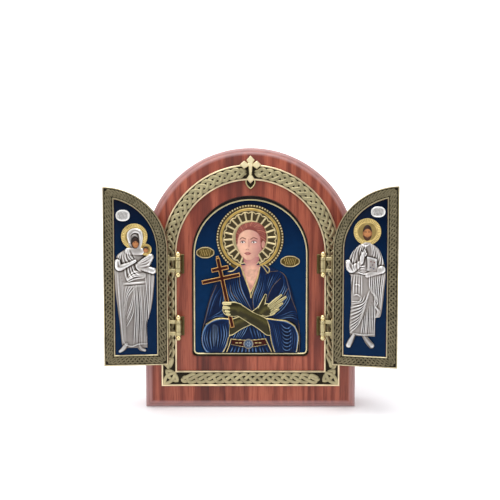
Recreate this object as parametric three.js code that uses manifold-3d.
// A folding triptych icon: a wooden arch-topped board with a brass interlace frame and an
// enamelled relief icon, and two arch-topped wooden wings, each with a brass frame, a blue panel
// and a silvered figure, hung on ball-tipped pin hinges.
// Millimetres. Everything is modelled facing the viewer: x to the right, y up from the underside
// of the board, z out of the board's face. The last group turns that so that +Z is up.
import * as THREE from 'three';
import { mergeVertices } from 'three/addons/utils/BufferGeometryUtils.js';
import Module from 'manifold-3d';

const wasm = await Module();
wasm.setup();

// Gap left between pieces that lie on or beside each other, where the glue is.
const glue = 0.3;

// Wings: closed, the pair fills the opening of the brass frame
const wingWide = 60.6;
const wingTall = 171.3;
const wingBottom = 48.3;
const wingBoardThick = 6.5;
const wingFrameThick = 1.4;
const wingBorder = 10.3;
const wingRim = 1.3;
const wingFrameStep = 10.6;
const wingFrameLow = 0.6;
const panelThick = 0.7;
const panelClear = 0.35;
const meetingGap = 0.3;
const leftAjar = 5;
const rightAjar = 12;

// Hinges: the wings hang on vertical pins in front of the board
const hingeReach = 9.7;
const axisX = meetingGap + wingWide + hingeReach;
const axisZ = 10;
const wingFaceAboveAxis = 5.5;
const hingeBelowSpring = 13.8;
const hingeAboveFoot = 35;
const knuckleRadius = 3.0;
const pinRadius = 1.25;
const pinBore = 1.55;
const middleKnuckle = 7.8;
const endKnuckle = 3.2;
const knuckleGap = 0.25;
const barrelSides = 10;
const ballRadius = 2.85;
const leafThick = 1.3;
const leafTall = 19;
const armThick = 2.6;
const padWide = 7.4;
const padOutside = 2.6;
const padThick = 1.4;
const webThick = 2.6;

// Brass interlace frame on the board, round the closed wings and their hinges
const frameBand = 15.2;
const frameInner = axisX + padOutside + glue;
const frameHalf = frameInner + frameBand;
const frameBottom = 23;
const frameThick = 1.7;
const frameRim = 1.6;
const frameLow = 0.75;
const frameStep = 9.8;
const tongueHalf = 4.4;
const tongueDrop = 8.3;
const archCentreY = wingBottom + wingTall + tongueDrop - frameInner;

// Wooden board
const boardMargin = 17.3;
const boardHalf = frameHalf + boardMargin;
const boardThick = 36;
const mouldWide = 8.2;
const mouldDeep = 3.6;
const pocketHalf = 58;
const pocketBottom = 52.7;
const pocketDeep = 6;
const pocketCorner = 4.5;
const archSegments = 26;

// Cross on the frame's crown
const crossThick = 1.9;
const crossLong = 27.2;
const crossWide = 21.2;
const crossBar = 4.1;
const crossBud = 4.1;
const crossArmDrop = 9;
const crossAboveFrame = 8.5;

// Icon plate in the pocket
const plateThick = 1.1;
const plateClear = 0.8;
const rimWide = 1.5;
const rimTall = 1.0;

// Halo behind the saint
const haloX = -0.5;
const haloY = 170.4;
const haloRadius = 33.6;
const haloThick = 0.9;
const haloTeeth = 26;
const haloSpokes = 20;
const haloSpokeInner = 16;
const haloRingInner = 28.4;
const spokeWide = 1.7;
const spokeTall = 0.5;
const haloTurn = -0.035;

// Halos on the wings
const wingHaloThick = 0.9;

// Colours and finishes
const finish = {
  wood: { color: 0x9a4a36, roughness: 0.45, metalness: 0 },
  brass: { color: 0xb89b5e, roughness: 0.35, metalness: 1 },
  brightBrass: { color: 0xe6cf8a, roughness: 0.25, metalness: 1 },
  gilt: { color: 0xc9a24a, roughness: 0.3, metalness: 1 },
  blueEnamel: { color: 0x0f2f5c, roughness: 0.25, metalness: 0 },
  robeEnamel: { color: 0x1b3f86, roughness: 0.25, metalness: 0.2 },
  redEnamel: { color: 0x7a2411, roughness: 0.3, metalness: 0.2 },
  silver: { color: 0xd8d5d0, roughness: 0.35, metalness: 1 },
  paint: { color: 0xd9a58c, roughness: 0.5, metalness: 0 },
};

function material(name) {
  return new THREE.MeshStandardMaterial(finish[name]);
}

// Solids and geometry

function toSolid(geometry) {
  const bare = geometry.clone();
  bare.deleteAttribute('normal');
  bare.deleteAttribute('uv');
  const merged = mergeVertices(bare, 1e-4);
  return new wasm.Manifold(new wasm.Mesh({
    numProp: 3,
    vertProperties: new Float32Array(merged.attributes.position.array),
    triVerts: new Uint32Array(merged.index.array),
  }));
}

function toGeometry(solid) {
  const mesh = solid.getMesh();
  const geometry = new THREE.BufferGeometry();
  geometry.setAttribute('position', new THREE.BufferAttribute(new Float32Array(mesh.vertProperties), 3));
  geometry.setIndex(new THREE.BufferAttribute(new Uint32Array(mesh.triVerts), 1));
  return geometry;
}

function join(...geometries) {
  return toGeometry(geometries.map(toSolid).reduce((all, next) => all.add(next)));
}

function cut(geometry, ...tools) {
  return toGeometry(tools.map(toSolid).reduce((left, tool) => left.subtract(tool), toSolid(geometry)));
}

function fromFaces(points, faces) {
  const geometry = new THREE.BufferGeometry();
  geometry.setAttribute('position', new THREE.BufferAttribute(new Float32Array(points.flat()), 3));
  geometry.setIndex(faces.flat());
  return geometry;
}

function quad(a, b, c, d) {
  return [[a, b, c], [a, c, d]];
}

function mirrored(geometry) {
  const copy = geometry.index ? geometry.clone() : mergeVertices(geometry, 1e-4);
  copy.scale(-1, 1, 1);
  const index = copy.index.array;
  for (let i = 0; i < index.length; i += 3) [index[i], index[i + 1]] = [index[i + 1], index[i]];
  return copy;
}

function prism(outline, low, high) {
  const shape = new THREE.Shape(outline.map(([x, y]) => new THREE.Vector2(x, y)));
  const geometry = new THREE.ExtrudeGeometry(shape, { depth: high - low, bevelEnabled: false });
  return geometry.translate(0, 0, low);
}

function box(x, y, z, wide, tall, thick) {
  return new THREE.BoxGeometry(wide, tall, thick).translate(x, y, z);
}

function oval(x, y, z, radiusX, radiusY, radiusZ, around = 10, rings = 6) {
  return new THREE.SphereGeometry(1, around, rings).scale(radiusX, radiusY, radiusZ).translate(x, y, z);
}

function alongY(profile, segments) {
  return new THREE.LatheGeometry(profile.map(([r, y]) => new THREE.Vector2(r, y)), segments);
}

function mix(a, b, t) {
  return a + (b - a) * t;
}

// A value read off a few [position, value] pairs, joined by a smooth curve.
function readCurve(pairs, at) {
  if (at <= pairs[0][0]) return pairs[0][1];
  const last = pairs.length - 1;
  if (at >= pairs[last][0]) return pairs[last][1];
  const i = pairs.findIndex((pair) => pair[0] > at) - 1;
  const t = (at - pairs[i][0]) / (pairs[i + 1][0] - pairs[i][0]);
  return mix(pairs[i][1], pairs[i + 1][1], t * t * (3 - 2 * t) * 0.5 + t * 0.5);
}

// Outlines

function archOutline(half, bottom, inset = 0, corner = 0) {
  const wide = half - inset;
  const low = bottom + inset;
  const points = [];
  if (corner > 0) {
    for (const [side, from] of [[-1, Math.PI], [1, 1.5 * Math.PI]]) {
      for (let i = 0; i <= 3; i++) {
        const angle = from + (i / 3) * (Math.PI / 2);
        const centre = [side * (wide - corner), low + corner];
        points.push([centre[0] + corner * Math.cos(angle), centre[1] + corner * Math.sin(angle)]);
      }
    }
  } else {
    points.push([-wide, low], [wide, low]);
  }
  for (let i = 0; i <= archSegments; i++) {
    const angle = (i / archSegments) * Math.PI;
    points.push([wide * Math.cos(angle), archCentreY + wide * Math.sin(angle)]);
  }
  return points;
}

// Pairs of an outer and an inner point, all the way round a mitred arch-topped band.
function archStations(half, bottom, band, step) {
  const inner = half - band;
  const stations = [];
  const across = Math.round((2 * half) / step);
  for (let i = 0; i < across; i++) {
    const t = i / across;
    stations.push({ outer: [mix(-half, half, t), bottom], inner: [mix(-inner, inner, t), bottom + band] });
  }
  const up = Math.round((archCentreY - bottom) / step);
  for (let i = 0; i < up; i++) {
    const t = i / up;
    stations.push({
      outer: [half, mix(bottom, archCentreY, t)],
      inner: [inner, mix(bottom + band, archCentreY, t)],
    });
  }
  const round = Math.round((Math.PI * half) / step);
  for (let i = 0; i <= round; i++) {
    const angle = (i / round) * Math.PI;
    stations.push({
      outer: [half * Math.cos(angle), archCentreY + half * Math.sin(angle)],
      inner: [inner * Math.cos(angle), archCentreY + inner * Math.sin(angle)],
    });
  }
  for (let i = 1; i < up; i++) {
    const t = i / up;
    stations.push({
      outer: [-half, mix(archCentreY, bottom, t)],
      inner: [-inner, mix(archCentreY, bottom + band, t)],
    });
  }
  return stations;
}

// A wing's outline, seen open from the front, as the left wing: its hinge edge is on the right.
// The origin is on the pin's axis, level with the wing's lower edge.
const wingHinge = -hingeReach;
const wingOuter = wingHinge - wingWide;
const wingSpring = wingTall - wingWide;

function wingOutline(inset, steps = 12) {
  const radius = wingWide - inset;
  const last = Math.acos(inset / radius);
  const points = [[wingOuter + inset, inset], [wingHinge - inset, inset]];
  for (let i = 0; i <= steps; i++) {
    const angle = (i / steps) * last;
    points.push([wingOuter + radius * Math.cos(angle), wingSpring + radius * Math.sin(angle)]);
  }
  return points;
}

function wingStations(step) {
  const outerPoints = [];
  const innerPoints = [];
  const radius = wingWide - wingBorder;
  const last = Math.acos(wingBorder / radius);
  const leg = (from, to, innerFrom, innerTo, count) => {
    for (let i = 0; i < count; i++) {
      const t = i / count;
      outerPoints.push([mix(from[0], to[0], t), mix(from[1], to[1], t)]);
      innerPoints.push([mix(innerFrom[0], innerTo[0], t), mix(innerFrom[1], innerTo[1], t)]);
    }
  };
  const innerLeft = wingOuter + wingBorder;
  const innerRight = wingHinge - wingBorder;
  const innerTop = wingSpring + radius * Math.sin(last);
  const count = (length) => Math.max(2, Math.round(length / step));
  leg([wingOuter, 0], [wingHinge, 0], [innerLeft, wingBorder], [innerRight, wingBorder], count(wingWide));
  const spring = wingSpring;
  leg([wingHinge, 0], [wingHinge, spring], [innerRight, wingBorder], [innerRight, spring], count(spring));
  const round = count((Math.PI / 2) * wingWide);
  for (let i = 0; i < round; i++) {
    const t = i / round;
    const angle = (t * Math.PI) / 2;
    outerPoints.push([wingOuter + wingWide * Math.cos(angle), wingSpring + wingWide * Math.sin(angle)]);
    innerPoints.push([wingOuter + radius * Math.cos(t * last), wingSpring + radius * Math.sin(t * last)]);
  }
  leg([wingOuter, wingTall], [wingOuter, 0], [innerLeft, innerTop], [innerLeft, wingBorder], count(wingTall));
  return outerPoints.map((outer, i) => ({ outer, inner: innerPoints[i] }));
}

// A closed band with the same section at every station, apart from the heights of the plait.
function bandSolid(stations, section) {
  const points = [];
  const faces = [];
  const size = section(0).length;
  stations.forEach(({ outer, inner }, k) => {
    for (const [across, height] of section(k)) {
      points.push([mix(outer[0], inner[0], across), mix(outer[1], inner[1], across), height]);
    }
  });
  stations.forEach((_, k) => {
    const next = (k + 1) % stations.length;
    for (let j = 0; j < size; j++) {
      const other = (j + 1) % size;
      const [a, b, c, d] = [k * size + j, next * size + j, next * size + other, k * size + other];
      // The ridges of the plait run along the diagonals that join high points.
      if ((k + j) % 2) faces.push([a, b, c], [a, c, d]);
      else faces.push([a, b, d], [b, c, d]);
    }
  });
  return fromFaces(points, faces);
}

// Rims along both edges and a lattice of crossing ridges between them.
function plaitSection(band, rim, thick, low, lanes) {
  return (k) => {
    const edge = rim / band;
    const points = [[0, 0], [0, thick], [edge, thick]];
    for (let lane = 1; lane <= lanes; lane++) {
      const high = (k + points.length) % 2 === 1;
      points.push([mix(edge, 1 - edge, lane / (lanes + 1)), high ? thick : low]);
    }
    points.push([1 - edge, thick], [1, thick], [1, 0]);
    return points;
  };
}

// Body

function backboard() {
  const steps = [
    [0, -boardThick], [0, -mouldDeep - 1.2], [1.6, -mouldDeep], [3.9, -mouldDeep + 0.6],
    [4.6, -mouldDeep * 0.35], [mouldWide, 0],
  ];
  const points = [];
  const faces = [];
  const ringAt = ([inset, height]) => archOutline(boardHalf, 0, inset).map(([x, y]) => [x, y, height]);
  const rings = steps.map(ringAt);
  const size = rings[0].length;
  rings.forEach((ring) => points.push(...ring));
  for (let r = 0; r < rings.length - 1; r++) {
    for (let i = 0; i < size; i++) {
      const next = (i + 1) % size;
      faces.push(...quad(r * size + i, r * size + next, (r + 1) * size + next, (r + 1) * size + i));
    }
  }
  const top = (rings.length - 1) * size;
  for (let i = 1; i < size - 1; i++) {
    faces.push([0, i + 1, i], [top, top + i, top + i + 1]);
  }
  const hollow = prism(archOutline(pocketHalf, pocketBottom, 0, pocketCorner), -pocketDeep, 1);
  return cut(fromFaces(points, faces), hollow);
}

function frontFrame() {
  const section = plaitSection(frameBand, frameRim, frameThick, frameLow, 3);
  const band = bandSolid(archStations(frameHalf, frameBottom, frameBand, frameStep), section);
  const innerTop = archCentreY + frameInner;
  const leaf = [[1, -0.25], [1, 0.45], [0.6, 0.8]];
  const half = leaf.map(([x, drop]) => [x * tongueHalf, innerTop - drop * tongueDrop]);
  const otherHalf = half.map(([x, y]) => [-x, y]).reverse();
  const tongue = [...half, [0, innerTop - tongueDrop], ...otherHalf];
  return join(band, prism(tongue, 0, frameThick * 0.7)).translate(0, 0, glue);
}

// The cross has one bud, a pointed lozenge, on each arm.
function apexCross() {
  const bud = (x, y) => prism(ovalOutline(x, y, crossBud, crossBud, 4), 0, crossThick);
  const top = archCentreY + frameHalf + crossAboveFrame;
  const armY = top - crossArmDrop;
  const foot = top - crossLong;
  const pieces = [
    box(0, (top + foot) / 2, crossThick / 2, crossBar, crossLong - 2 * crossBud, crossThick),
    box(0, armY, crossThick / 2, crossWide - 2 * crossBud, crossBar, crossThick),
    bud(0, top - crossBud),
    bud(0, foot + crossBud),
    bud(-crossWide / 2 + crossBud, armY),
    bud(crossWide / 2 - crossBud, armY),
  ];
  return join(...pieces).translate(0, 0, glue + frameThick + glue);
}

const plateLow = -pocketDeep + glue;
const plateTop = plateLow + plateThick;
const reliefLow = plateTop + glue;

function iconPlate() {
  const half = pocketHalf - plateClear;
  const bottom = pocketBottom + plateClear;
  const plate = prism(archOutline(half, bottom, 0, pocketCorner), plateLow, plateTop);
  const rim = cut(
    prism(archOutline(half, bottom, 0, pocketCorner), plateLow, plateTop + rimTall),
    prism(archOutline(half, bottom, rimWide, pocketCorner - rimWide), plateLow - 1, plateTop + rimTall + 1),
  );
  return join(plate, rim);
}

// The figures are drawn on a field of one size, and stretched to the one they lie on.
function stretch(geometry, drawn, real) {
  const wide = (real.right - real.left) / (drawn.right - drawn.left);
  const tall = (real.top - real.bottom) / (drawn.top - drawn.bottom);
  geometry.translate(-drawn.left, -drawn.bottom, 0);
  return geometry.scale(wide, tall, 1).translate(real.left, real.bottom, 0);
}

const drawnPocket = { left: -58, right: 58, bottom: 52.7, top: 212.4 };
const pocket = { left: -pocketHalf, right: pocketHalf, bottom: pocketBottom, top: archCentreY + pocketHalf };

// The saint's robe: curves of [height, value] from the hem up to the collar
const robe = {
  bottom: 55.6,
  top: 146,
  left: [[55.6, -44.6], [62, -49.2], [76.3, -49.6], [94.9, -45.6], [110.4, -41.5], [124.8, -36.4],
    [134, -28], [140, -18], [146, -10.5]],
  right: [[55.6, 49.4], [62, 50.6], [76.3, 50.2], [103.1, 45.1], [122.7, 39.9], [134, 34.5],
    [139.5, 25], [143.3, 17], [146, 10.5]],
  crown: [[55.6, 2.4], [80, 3.2], [110, 2.8], [135, 2.2], [146, 1.4]],
  columns: 10,
  rows: 9,
  flute: 0.45,
};
const neckline = { tip: [-0.3, 111.4], left: [-10.5, 147.5], right: [9, 148.5], throat: 1.3 };
const head = { x: 0.4, y: 167.2, halfWide: 15.2, halfTall: 19.6, proud: 3.5 };
const sleeves = { left: -36, right: 36.5, y: 76, halfWide: 12.5, halfTall: 19, proud: 3.9 };
const belt = { left: -19.5, right: 16.5, y: 65.2, tall: 5.6, proud: 4, clasp: 5.2 };

// A relief lofted through rows: flat behind, crowned in front, fluted by alternate columns.
function loftRelief({ bottom, top, left, right, crown, columns, rows, flute }, low) {
  const points = [];
  const faces = [];
  const edge = 0.35;
  for (let r = 0; r <= rows; r++) {
    const y = mix(bottom, top, r / rows);
    const from = readCurve(left, y);
    const to = readCurve(right, y);
    const height = readCurve(crown, y);
    for (let c = 0; c <= columns; c++) {
      const t = c / columns;
      const dome = edge + (1 - edge) * Math.sin(Math.PI * t) ** 0.6;
      const inside = c > 0 && c < columns;
      const fold = inside ? (c % 2 ? flute : -flute) : 0;
      points.push([mix(from, to, t), y, low + height * dome + fold]);
    }
    points.push([from, y, low], [to, y, low]);
  }
  const size = columns + 3;
  const backLeft = columns + 1;
  const backRight = columns + 2;
  for (let r = 0; r < rows; r++) {
    const a = r * size;
    const b = a + size;
    for (let c = 0; c < columns; c++) faces.push(...quad(a + c, a + c + 1, b + c + 1, b + c));
    faces.push(...quad(a + columns, a + backRight, b + backRight, b + columns));
    faces.push(...quad(a + backLeft, a, b, b + backLeft));
    faces.push(...quad(a + backRight, a + backLeft, b + backLeft, b + backRight));
  }
  const end = rows * size;
  for (let c = 0; c < columns; c++) {
    faces.push([backLeft, c + 1, c], [end + backLeft, end + c, end + c + 1]);
  }
  faces.push([backLeft, backRight, columns], [end + backLeft, end + columns, end + backRight]);
  return fromFaces(points, faces);
}

// A limb of rounded section between two points, flat where it lies on the relief.
function limb(from, to, wideFrom, wideTo, low, tall) {
  const along = new THREE.Vector2(to[0] - from[0], to[1] - from[1]).normalize();
  const side = [-along.y, along.x];
  const section = [[-0.5, 0], [0.5, 0], [0.5, 0.45], [0.28, 0.9], [-0.28, 0.9], [-0.5, 0.45]];
  const points = [];
  for (const [centre, wide] of [[from, wideFrom], [to, wideTo]]) {
    for (const [across, up] of section) {
      const off = across * wide;
      points.push([centre[0] + side[0] * off, centre[1] + side[1] * off, low + up * tall]);
    }
  }
  const n = section.length;
  const faces = [];
  for (let i = 0; i < n; i++) faces.push(...quad(i, (i + 1) % n, ((i + 1) % n) + n, i + n));
  for (let i = 1; i < n - 1; i++) faces.push([0, i + 1, i], [n, n + i, n + i + 1]);
  return fromFaces(points, faces);
}

// The hand cross leans to the left: a shaft and two bars at right angles to it.
const handCross = {
  top: [-33, 152.1], foot: [-17.9, 81.5], wide: 4.2, proud: 3.3,
  bars: [{ at: 0.17, half: 8.6 }, { at: 0.305, half: 18.2 }],
};

function handCrossSolid() {
  const { top, foot, wide, proud, bars } = handCross;
  const length = Math.hypot(top[0] - foot[0], top[1] - foot[1]);
  const lean = Math.atan2(foot[0] - top[0], top[1] - foot[1]);
  const mid = reliefLow + proud / 2;
  const shaft = box(0, -length / 2, mid, wide, length, proud);
  const across = bars.map(({ at, half }) => box(0, -length * at, mid, 2 * half, wide, proud));
  return join(shaft, ...across).rotateZ(lean).translate(top[0], top[1], 0);
}

const arms = {
  grip: { fist: [-20.5, 101.5], elbow: [19.3, 77.4] },
  open: { palm: [18.5, 101.5], elbow: [-20.4, 73.6], fingers: [34.6, 112.4], thumb: [15.2, 114.6] },
  wrist: 8.2, cuff: 12.4, gripProud: 4.8, openProud: 4.1, fistProud: 5,
};

// Arms rise from the relief's flat back, so their section is half again as tall as it looks.
function saintArms() {
  const { grip, open, wrist, cuff, gripProud, openProud, fistProud } = arms;
  const bar = (from, to, wideFrom, wideTo, proud) => limb(from, to, wideFrom, wideTo, reliefLow, proud / 0.9);
  return [
    bar(open.elbow, open.palm, cuff, wrist, openProud),
    bar(open.palm, open.fingers, 11.5, 6.5, openProud - 0.3),
    bar([14.5, 104], open.thumb, 4.2, 2.6, openProud - 0.2),
    bar(grip.elbow, grip.fist, cuff, wrist, gripProud),
    oval(grip.fist[0], grip.fist[1], reliefLow, 8.8, 8.2, fistProud, 8, 6),
  ];
}

function neckOutline() {
  return [neckline.tip, neckline.right, neckline.left];
}

// The robe with its sleeves, its throat opening, its folds and its belt
function saintRobe() {
  const body = loftRelief(robe, reliefLow);
  const { y, halfWide, halfTall, proud } = sleeves;
  const sleeve = (x) => oval(x, y, reliefLow, halfWide, halfTall, proud, 10, 6);
  const hanging = [sleeve(sleeves.left), sleeve(sleeves.right)];
  const open = cut(join(body, ...hanging), prism(neckOutline(), reliefLow + neckline.throat, reliefLow + 9));
  const across = (belt.left + belt.right) / 2;
  const mid = reliefLow + belt.proud / 2;
  return [
    open,
    box(across, belt.y, mid, belt.right - belt.left, belt.tall, belt.proud),
    prism(ovalOutline(across, belt.y, belt.clasp, belt.clasp, 10), reliefLow, reliefLow + belt.proud + 0.3),
  ];
}

// A plain head: the skull, a cap of hair that comes down by the ears, a nose, the neck below
function saintHead() {
  const { x, y, halfWide, halfTall, proud } = head;
  return [
    oval(x, y, reliefLow, halfWide, halfTall, proud, 12, 8),
    oval(x + 0.8, y + halfTall * 0.28, reliefLow, halfWide + 0.9, halfTall * 0.78, proud - 0.3, 12, 6),
    oval(x, y - 1, reliefLow, 1.8, 4.6, proud + 0.6, 6, 4),
    prism([[-7.6, 136], [8.2, 136], [9, 155], [-6.5, 155]], reliefLow, reliefLow + neckline.throat + 0.2),
  ];
}

// Discs in low relief behind the heads, with a toothed edge, a ring and spokes.
function haloSolid({ x, y, radius, ring, spokeInner, spokes, teeth, low, thick, tall, spoke, turn = 0 }) {
  const edge = Array.from({ length: 2 * teeth }, (_, i) => {
    const angle = (i / (2 * teeth)) * 2 * Math.PI;
    const r = i % 2 ? radius - 0.9 : radius;
    return [x + r * Math.cos(angle), y + r * Math.sin(angle)];
  });
  const ringShape = cut(
    prism(ovalOutline(x, y, radius - 2.2, radius - 2.2, teeth), low, low + thick + tall),
    prism(ovalOutline(x, y, ring, ring, teeth), low - 1, low + thick + tall + 1),
  );
  const rays = Array.from({ length: spokes }, (_, i) => {
    const long = ring + 0.5 - spokeInner;
    const ray = box(spokeInner + long / 2, 0, low + (thick + tall) / 2, long, spoke, thick + tall);
    return ray.rotateZ(turn + (i / spokes) * 2 * Math.PI).translate(x, y, 0);
  });
  return join(prism(edge, low, low + thick), ringShape, ...rays);
}

function ovalOutline(x, y, radiusX, radiusY, segments) {
  return Array.from({ length: segments }, (_, i) => {
    const angle = (i / segments) * 2 * Math.PI;
    return [x + radiusX * Math.cos(angle), y + radiusY * Math.sin(angle)];
  });
}

// The half space behind a relief's flat back, to cut off what reaches below it
function behind(low) {
  return box(0, 100, low - 10, 260, 320, 20);
}

function saintRelief() {
  const halo = haloSolid({
    x: haloX, y: haloY, radius: haloRadius, ring: haloRingInner, spokeInner: haloSpokeInner,
    spokes: haloSpokes, teeth: haloTeeth, low: reliefLow, thick: haloThick, tall: spokeTall,
    spoke: spokeWide, turn: haloTurn,
  });
  const whole = join(halo, ...saintRobe(), ...saintHead(), ...saintArms(), handCrossSolid());
  return stretch(cut(whole, behind(reliefLow)), drawnPocket, pocket);
}

const plaqueThick = 0.8;

// Name plates: a lobed oval with two rows of raised strokes that are no writing.
function cartouche(halfWide, halfTall, low, thick) {
  const squarer = (v) => Math.sign(v) * Math.abs(v) ** 0.7;
  const outline = Array.from({ length: 16 }, (_, i) => {
    const angle = (i / 16) * 2 * Math.PI;
    const lobe = 1 + 0.06 * Math.cos(4 * angle);
    return [halfWide * lobe * squarer(Math.cos(angle)), halfTall * lobe * squarer(Math.sin(angle))];
  });
  const top = thick + 0.4;
  const stroke = (t) => box(0, t * halfTall, low + top / 2, halfWide * 1.1, halfTall * 0.22, top);
  const rows = [-0.26, 0.26].map(stroke);
  return join(prism(outline, low, low + thick), ...rows);
}

const plaques = {
  left: { x: -45.2, y: 156.2, halfWide: 8.6, halfTall: 5.3, turn: -0.02 },
  right: { x: 39.6, y: 147.4, halfWide: 9.2, halfTall: 5.3, turn: -0.03 },
};

function iconPlaque({ x, y, halfWide, halfTall, turn }) {
  const plaque = cartouche(halfWide, halfTall, reliefLow, plaqueThick).rotateZ(turn).translate(x, y, 0);
  return stretch(plaque, drawnPocket, pocket);
}

// Hinges, with the origin on the pin's axis at the middle of the hinge

function tube(radius, bore, low, high) {
  return alongY([[bore, low], [radius, low], [radius, high], [bore, high], [bore, low]], barrelSides);
}

function pin() {
  const neck = middleKnuckle / 2 + 2 * knuckleGap + endKnuckle;
  const centre = neck + ballRadius * 0.85;
  const half = [
    [pinRadius, neck], [ballRadius * 0.62, neck + 0.25], [ballRadius, centre],
    [ballRadius * 0.7, centre + ballRadius * 0.7],
  ];
  const top = centre + ballRadius;
  const profile = [
    [0, -top], ...half.slice().reverse().map(([r, y]) => [r, -y]), ...half, [0, top],
  ];
  return alongY(profile, 8);
}

// The fixed leaf: a pad on the board's face and a web that carries the middle knuckle.
function fixedLeaf() {
  const faceZ = -axisZ + glue;
  const pad = box(padWide / 2 - padOutside, 0, faceZ + padThick / 2, padWide, leafTall, padThick);
  const webLow = faceZ + padThick / 2;
  const web = box(0, 0, webLow / 2, webThick, middleKnuckle, -webLow);
  const barrel = tube(knuckleRadius, pinBore, -middleKnuckle / 2, middleKnuckle / 2);
  const bore = new THREE.CylinderGeometry(pinBore, pinBore, middleKnuckle + 2, barrelSides).toNonIndexed();
  return cut(join(pad, web, barrel), bore);
}

// The wing's leaf: a plate on the wing's edge and two arms that carry the end knuckles.
function wingLeaf() {
  const plateX = wingHinge + glue + leafThick / 2;
  const plateZ = wingFaceAboveAxis - (wingFrameThick + glue + wingBoardThick) / 2;
  const plate = box(plateX, 0, plateZ, leafThick, leafTall, wingBoardThick);
  const from = middleKnuckle / 2 + knuckleGap;
  const pieces = [plate];
  for (const side of [-1, 1]) {
    const y = side * (from + endKnuckle / 2);
    pieces.push(box(plateX / 2, y, 0, -plateX, endKnuckle, armThick));
    pieces.push(tube(knuckleRadius, pinBore, y - endKnuckle / 2, y + endKnuckle / 2));
  }
  const bore = new THREE.CylinderGeometry(pinBore, pinBore, leafTall, barrelSides).toNonIndexed();
  return cut(join(...pieces), bore);
}

// Wing pieces, as for the left wing

const wingBoardTop = wingFaceAboveAxis - wingFrameThick - glue;
const panelLow = wingBoardTop + glue;
const wingRelief = panelLow + panelThick + glue;

function wingBoard() {
  return prism(wingOutline(0), wingBoardTop - wingBoardThick, wingBoardTop);
}

function wingFrame() {
  const section = plaitSection(wingBorder, wingRim, wingFrameThick, wingFrameLow, 3);
  return bandSolid(wingStations(wingFrameStep), section).translate(0, 0, wingFaceAboveAxis - wingFrameThick);
}

function wingPanel() {
  return prism(wingOutline(wingBorder + panelClear), panelLow, panelLow + panelThick);
}

const drawnPanel = { left: 10.3, right: 50.3, bottom: 10.3, top: 161 };
const panel = {
  left: wingBorder, right: wingWide - wingBorder, bottom: wingBorder, top: wingTall - wingBorder,
};

// The mother and child, measured from the wing's outer edge and lower edge
const mother = {
  robe: {
    bottom: 17.4, top: 112,
    left: [[17.4, 17.5], [24, 16.4], [45, 14.4], [70, 11.6], [84, 10.8], [97, 10.4], [106, 13],
      [110, 17.5], [112, 21]],
    right: [[17.4, 41.2], [40, 40.6], [46, 42.6], [62, 46.2], [80, 48], [91, 48], [97, 45],
      [104, 40], [112, 37]],
    crown: [[17.4, 2], [50, 2.4], [85, 2.7], [112, 1.8]],
    columns: 8, rows: 9, flute: 0.4,
  },
  veil: { x: 29.6, y: 121.3, halfWide: 6.6, halfTall: 9.2, proud: 2.6 },
  face: { x: 30.2, y: 118.7, halfWide: 3.9, halfTall: 6.4, proud: 3.1 },
  halo: { x: 29.6, y: 124.4, radius: 12.3 },
  child: { hip: [35.5, 104.8], shoulder: [45.2, 100.6], head: [40.3, 111.9], radius: 3.2, halo: 5.5 },
  feet: [{ x: 15, y: 14, long: 4.4 }, { x: 34.6, y: 15.8, long: 3.8 }],
  plaque: { x: 18.9, y: 144.3, halfWide: 6.3, halfTall: 5.2 },
};

// The blessing figure, measured from the wing's hinge edge and lower edge
const teacher = {
  robe: {
    bottom: 29.6, top: 118,
    left: [[29.6, 16.6], [40, 15.9], [60, 17.2], [84, 17], [89, 15.5], [96, 12.8], [101, 13.6],
      [110, 18.5], [115, 23], [118, 27.5]],
    right: [[29.6, 39.9], [46, 40.4], [49, 44.6], [60, 46.6], [75, 48], [91, 49.2], [101, 47],
      [111, 43.5], [115, 40], [118, 35.5]],
    crown: [[29.6, 2], [60, 2.4], [92, 2.7], [118, 1.7]],
    columns: 8, rows: 9, flute: 0.4,
  },
  head: { x: 31.9, y: 127.2, halfWide: 4.6, halfTall: 7.4, proud: 3 },
  hair: { x: 31.9, y: 129.4, halfWide: 5.2, halfTall: 6, proud: 2.7 },
  halo: { x: 31.9, y: 129, radius: 12.6 },
  plaque: { x: 41.6, y: 147.5, halfWide: 6.3, halfTall: 4.9 },
};

function dome({ x, y, halfWide, halfTall, proud }) {
  return oval(x, y, wingRelief, halfWide, halfTall, proud, 10, 6);
}

function wingHalo({ x, y, radius }) {
  return haloSolid({
    x, y, radius, ring: radius * 0.74, spokeInner: radius * 0.45, spokes: 8, teeth: 16,
    low: wingRelief, thick: wingHaloThick, tall: 0.35, spoke: 0.9,
  });
}

function motherRelief() {
  const { robe: gown, veil, face, halo, child, feet } = mother;
  const [childX, childY] = child.head;
  const relief = cut(join(
    wingHalo(halo),
    loftRelief(gown, wingRelief),
    dome(veil),
    dome(face),
    prism(ovalOutline(childX, childY, child.halo, child.halo, 12), wingRelief, wingRelief + 1.6),
    oval(childX, childY, wingRelief, child.radius * 0.85, child.radius, 3, 8, 4),
    limb(child.hip, child.shoulder, 11.5, 8.5, wingRelief, 4.1),
    limb([14.5, 95], [31, 98.5], 8, 5.4, wingRelief, 4.1),
    oval(30.5, 88.5, wingRelief, 10.5, 11, 3.3, 8, 6),
    ...feet.map(({ x, y, long }) => limb([x, y], [x + 2.6, y + long], 3.6, 4.6, wingRelief, 1.8)),
  ), behind(wingRelief));
  return stretch(relief, drawnPanel, panel);
}

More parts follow.
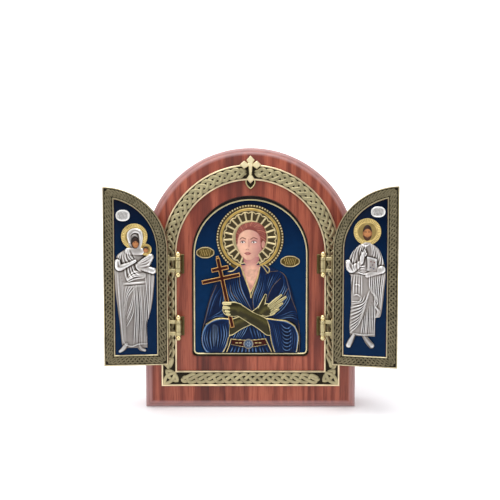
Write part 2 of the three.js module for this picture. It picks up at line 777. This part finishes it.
function teacherRelief() {
  const { robe: gown, head: skull, hair, halo } = teacher;
  const relief = cut(join(
    wingHalo(halo),
    loftRelief(gown, wingRelief),
    dome(skull),
    dome(hair),
    limb([14.5, 97], [28.4, 101.5], 8.4, 5.2, wingRelief, 4.1),
    limb([28, 100.5], [30.4, 108.5], 4.2, 3, wingRelief, 4.3),
    prism([[34.6, 91.5], [41.6, 93.5], [41.2, 103.5], [34.2, 102]], wingRelief, wingRelief + 3.4),
    limb([34, 84.5], [46, 92], 5.2, 9.5, wingRelief, 4.1),
    ...[[[17.4, 19.2], [20.6, 27]], [[36, 19.2], [29.2, 27.2]]].map(([toe, heel]) => (
      limb(toe, heel, 4.2, 3.4, wingRelief, 1.8))),
    ...[[20.7, 21], [29.2, 29.4]].map(([x, top]) => limb([x, 25.5], [top, 31], 3.4, 3.6, wingRelief, 1.8)),
  ), behind(wingRelief));
  return stretch(relief, drawnPanel, panel);
}

function wingPlaque({ x, y, halfWide, halfTall }) {
  const plaque = cartouche(halfWide, halfTall, wingRelief, plaqueThick).translate(x, y, 0);
  return stretch(plaque, drawnPanel, panel);
}

// Assembly

const triptych = new THREE.Group();
const body = new THREE.Group();
const leftWing = new THREE.Group();
const rightWing = new THREE.Group();
triptych.add(body, leftWing, rightWing);

function put(group, name, geometry, look, x = 0, y = 0) {
  const mesh = new THREE.Mesh(geometry, material(look));
  mesh.name = name;
  mesh.position.set(x, y, 0);
  group.add(mesh);
}

put(body, 'backboard', backboard(), 'wood');
put(body, 'front_frame', frontFrame(), 'brass');
put(body, 'apex_cross', apexCross(), 'brightBrass');
put(body, 'icon_plate', iconPlate(), 'blueEnamel');
put(body, 'saint_relief', saintRelief(), 'robeEnamel');
put(body, 'icon_plaque_left', iconPlaque(plaques.left), 'gilt');
put(body, 'icon_plaque_right', iconPlaque(plaques.right), 'gilt');

const hingeHeights = { upper: wingSpring - hingeBelowSpring, lower: hingeAboveFoot };
const sides = [
  { name: 'left', sign: -1, wing: leftWing, ajar: leftAjar, shape: (geometry) => geometry },
  { name: 'right', sign: 1, wing: rightWing, ajar: rightAjar, shape: mirrored },
];

for (const { name, sign, wing, ajar, shape } of sides) {
  wing.position.set(sign * axisX, wingBottom, axisZ);
  wing.rotation.y = THREE.MathUtils.degToRad(-sign * ajar);
  put(wing, `${name}_wing_board`, shape(wingBoard()), 'wood');
  put(wing, `${name}_wing_frame`, shape(wingFrame()), 'brass');
  put(wing, `${name}_wing_panel`, shape(wingPanel()), 'blueEnamel');
  const still = new THREE.Group();
  still.position.set(sign * axisX, wingBottom, axisZ);
  body.add(still);
  for (const [level, height] of Object.entries(hingeHeights)) {
    put(still, `${name}_${level}_hinge_pad`, shape(fixedLeaf()), 'brass', 0, height);
    put(still, `${name}_${level}_hinge_pin`, shape(pin()), 'brightBrass', 0, height);
    put(wing, `${name}_${level}_hinge_leaf`, shape(wingLeaf()), 'brass', 0, height);
  }
}

put(leftWing, 'mother_and_child', motherRelief(), 'silver', wingOuter);
put(leftWing, 'left_wing_plaque', wingPlaque(mother.plaque), 'silver', wingOuter);
put(rightWing, 'blessing_figure', teacherRelief(), 'silver', -wingHinge);
put(rightWing, 'right_wing_plaque', wingPlaque(teacher.plaque), 'silver', -wingHinge);

// The origin is the middle of the board's underside.
triptych.rotation.x = Math.PI / 2;
triptych.position.y = -boardThick / 2;

export default triptych;
